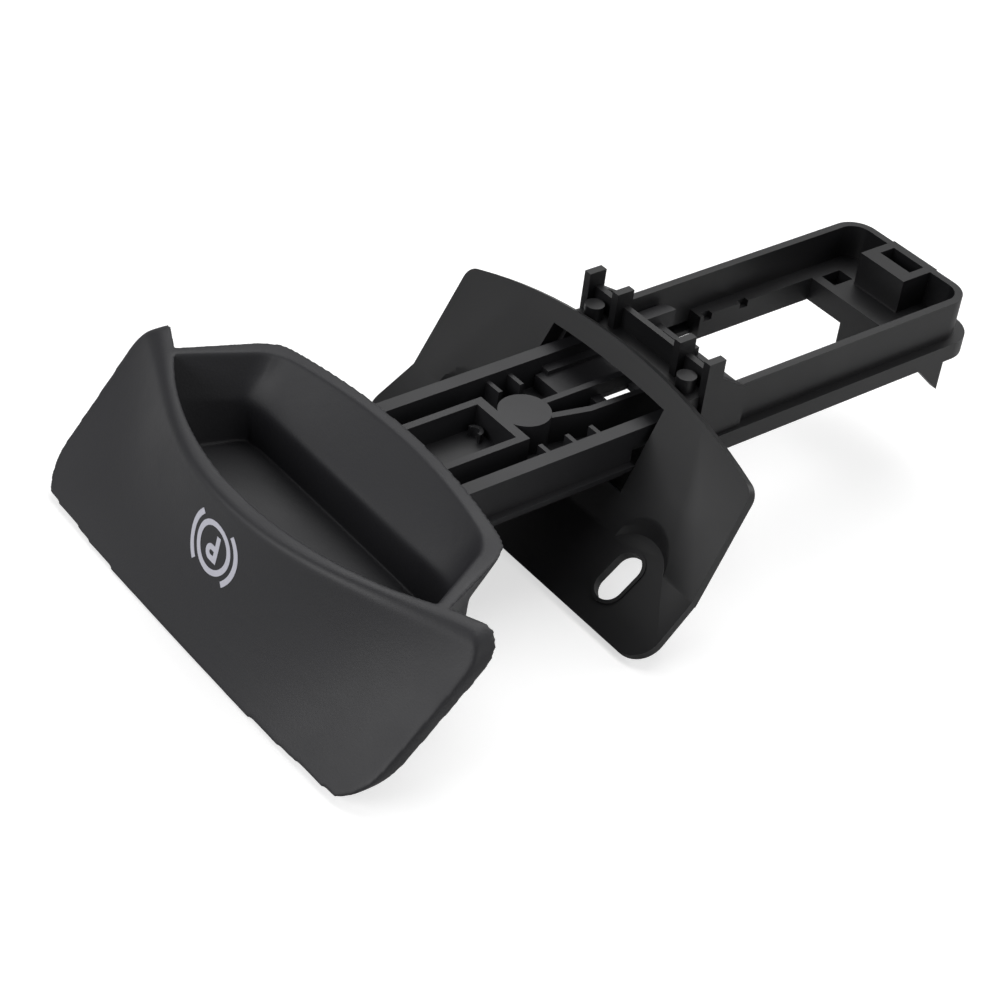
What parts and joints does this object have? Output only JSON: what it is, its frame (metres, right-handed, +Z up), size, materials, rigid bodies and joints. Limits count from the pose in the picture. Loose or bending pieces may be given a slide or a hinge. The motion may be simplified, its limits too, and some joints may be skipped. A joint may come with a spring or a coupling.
{
  "type": "parking brake release handle",
  "caption": "Pull handle with a hollow-faced plate and finger cup, on a ribbed slider that runs in a guide bracket with a curved panel and screw ears.",
  "frame": {"origin": "midway between the two screw slots, on the upper face of the ears", "axes": "+Y along the slider's travel into the bracket, +Z up as the part lies in the picture with its finger cup open upwards, X across"},
  "size_m": [0.1136, 0.1933, 0.0441],
  "materials": {
    "grip_plastic": "fine grained matte black",
    "slider_plastic": "satin black",
    "bracket_plastic": "satin black"
  },
  "bodies": {
    "bracket": {"guide_bracket": "bracket_plastic"},
    "handle": {"grip": "grip_plastic", "slider": "slider_plastic"}
  },
  "joints": [
    {"name": "handle_slide", "type": "slide", "parent": "bracket", "child": "handle", "axis": [0, 1, 0], "range_m": [0, 0.044]}
  ]
}
